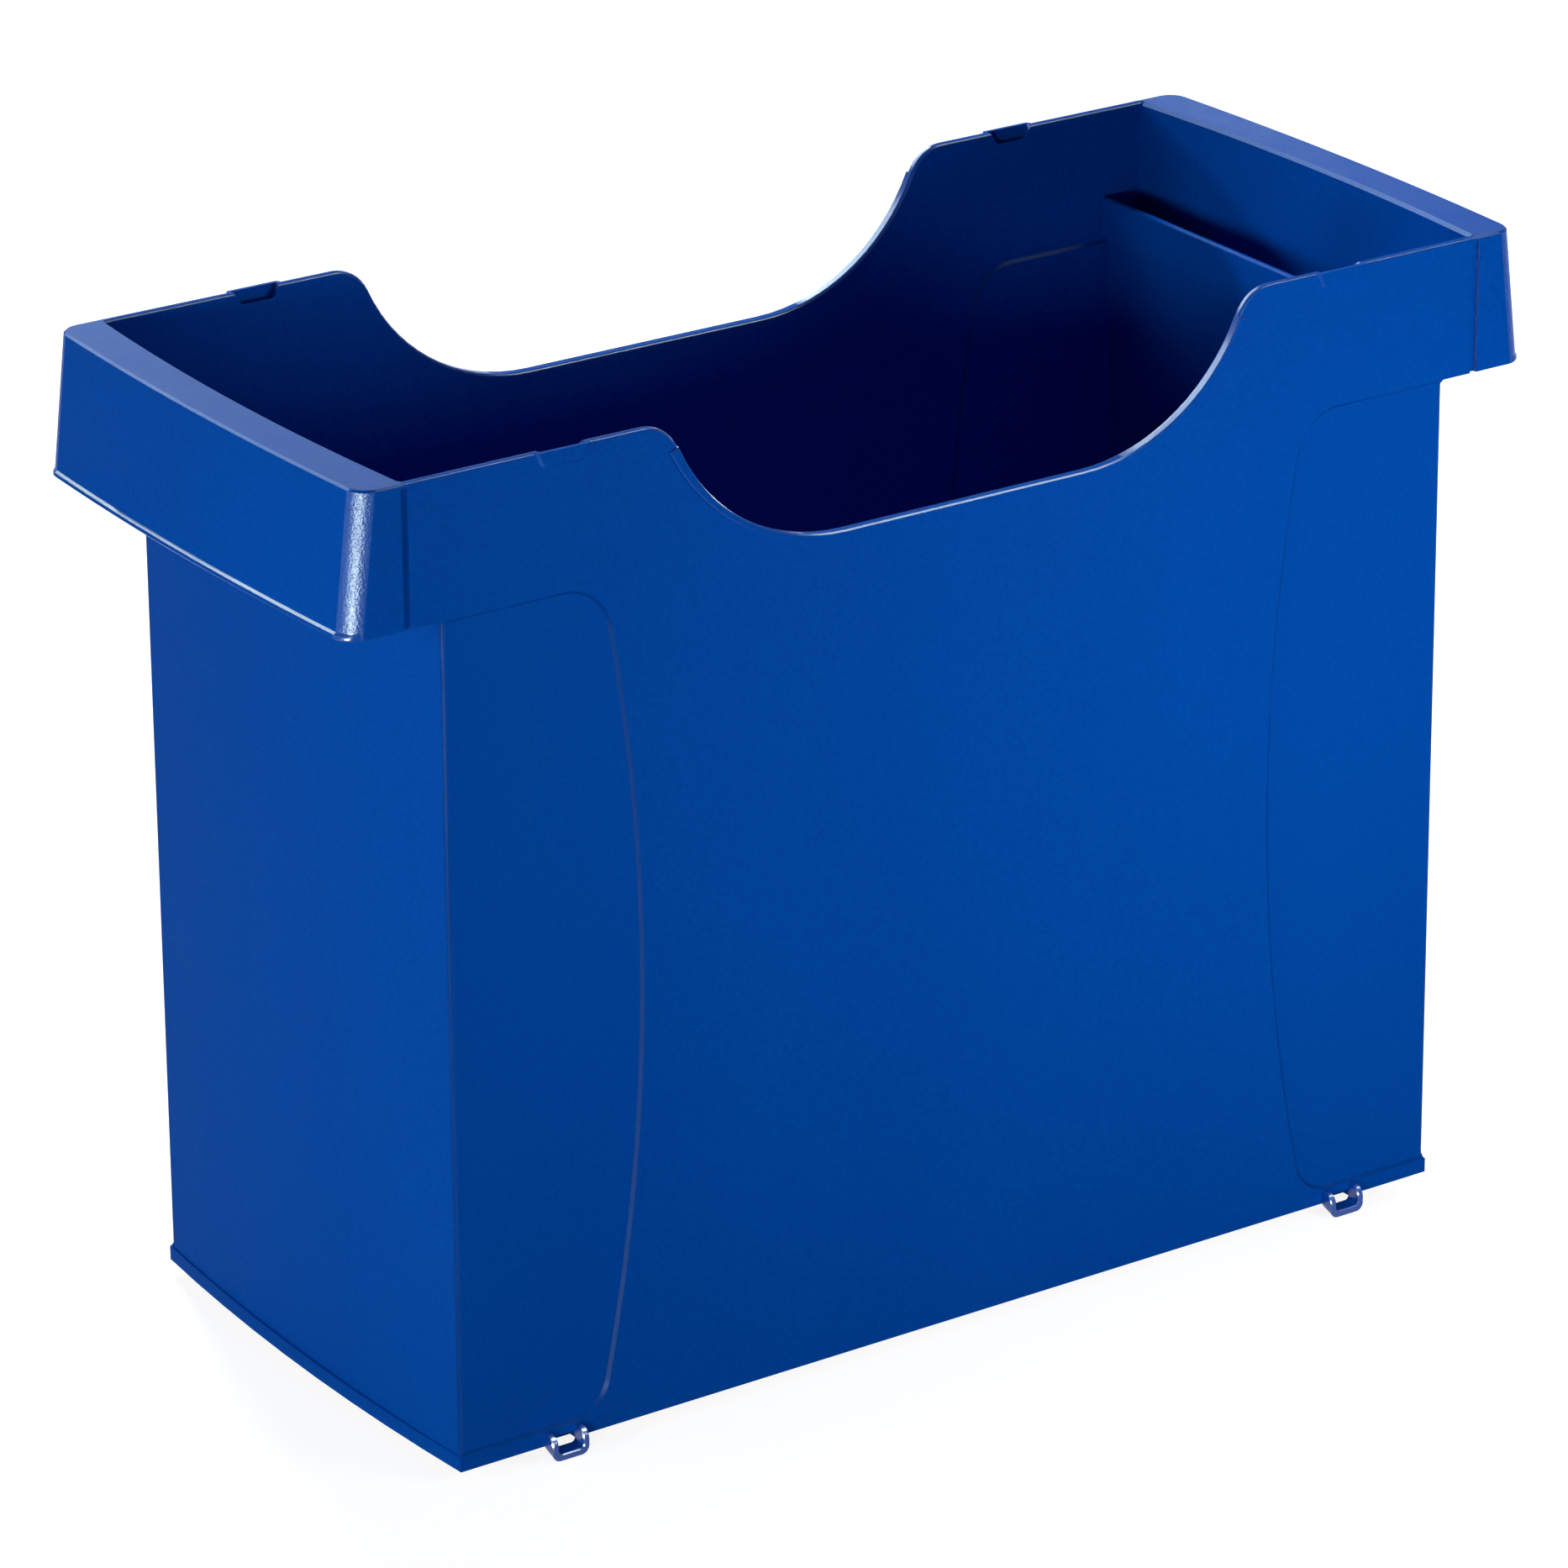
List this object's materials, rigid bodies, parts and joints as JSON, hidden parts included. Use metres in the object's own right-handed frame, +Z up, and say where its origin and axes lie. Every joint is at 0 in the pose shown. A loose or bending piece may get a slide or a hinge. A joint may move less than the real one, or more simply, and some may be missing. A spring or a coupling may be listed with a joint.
{
  "type": "hanging file box",
  "caption": "Deep open tub for suspension files, with a scooped rim, a straight hanging rail and an overhanging grip hood at each end, and coupling lugs at its lower front edge.",
  "frame": {"origin": "centre of the flat underside that the box stands on, midway between the two end rails and between the front and back walls", "axes": "+X along the box's length, from one grip hood to the other; +Z up; the coupling lugs are on the -Y side"},
  "size_m": [0.3998, 0.168, 0.2955],
  "materials": {
    "satin_skin": "fine-grained satin moulded plastic, royal blue",
    "gloss_trim": "smooth glossy moulded plastic, royal blue"
  },
  "bodies": {
    "root": {"tub_body": "satin_skin", "left_grip_hood": "satin_skin", "right_grip_hood": "satin_skin", "left_hanging_rail": "satin_skin", "right_hanging_rail": "satin_skin", "left_coupling_lug": "gloss_trim", "right_coupling_lug": "gloss_trim"}
  },
  "joints": []
}
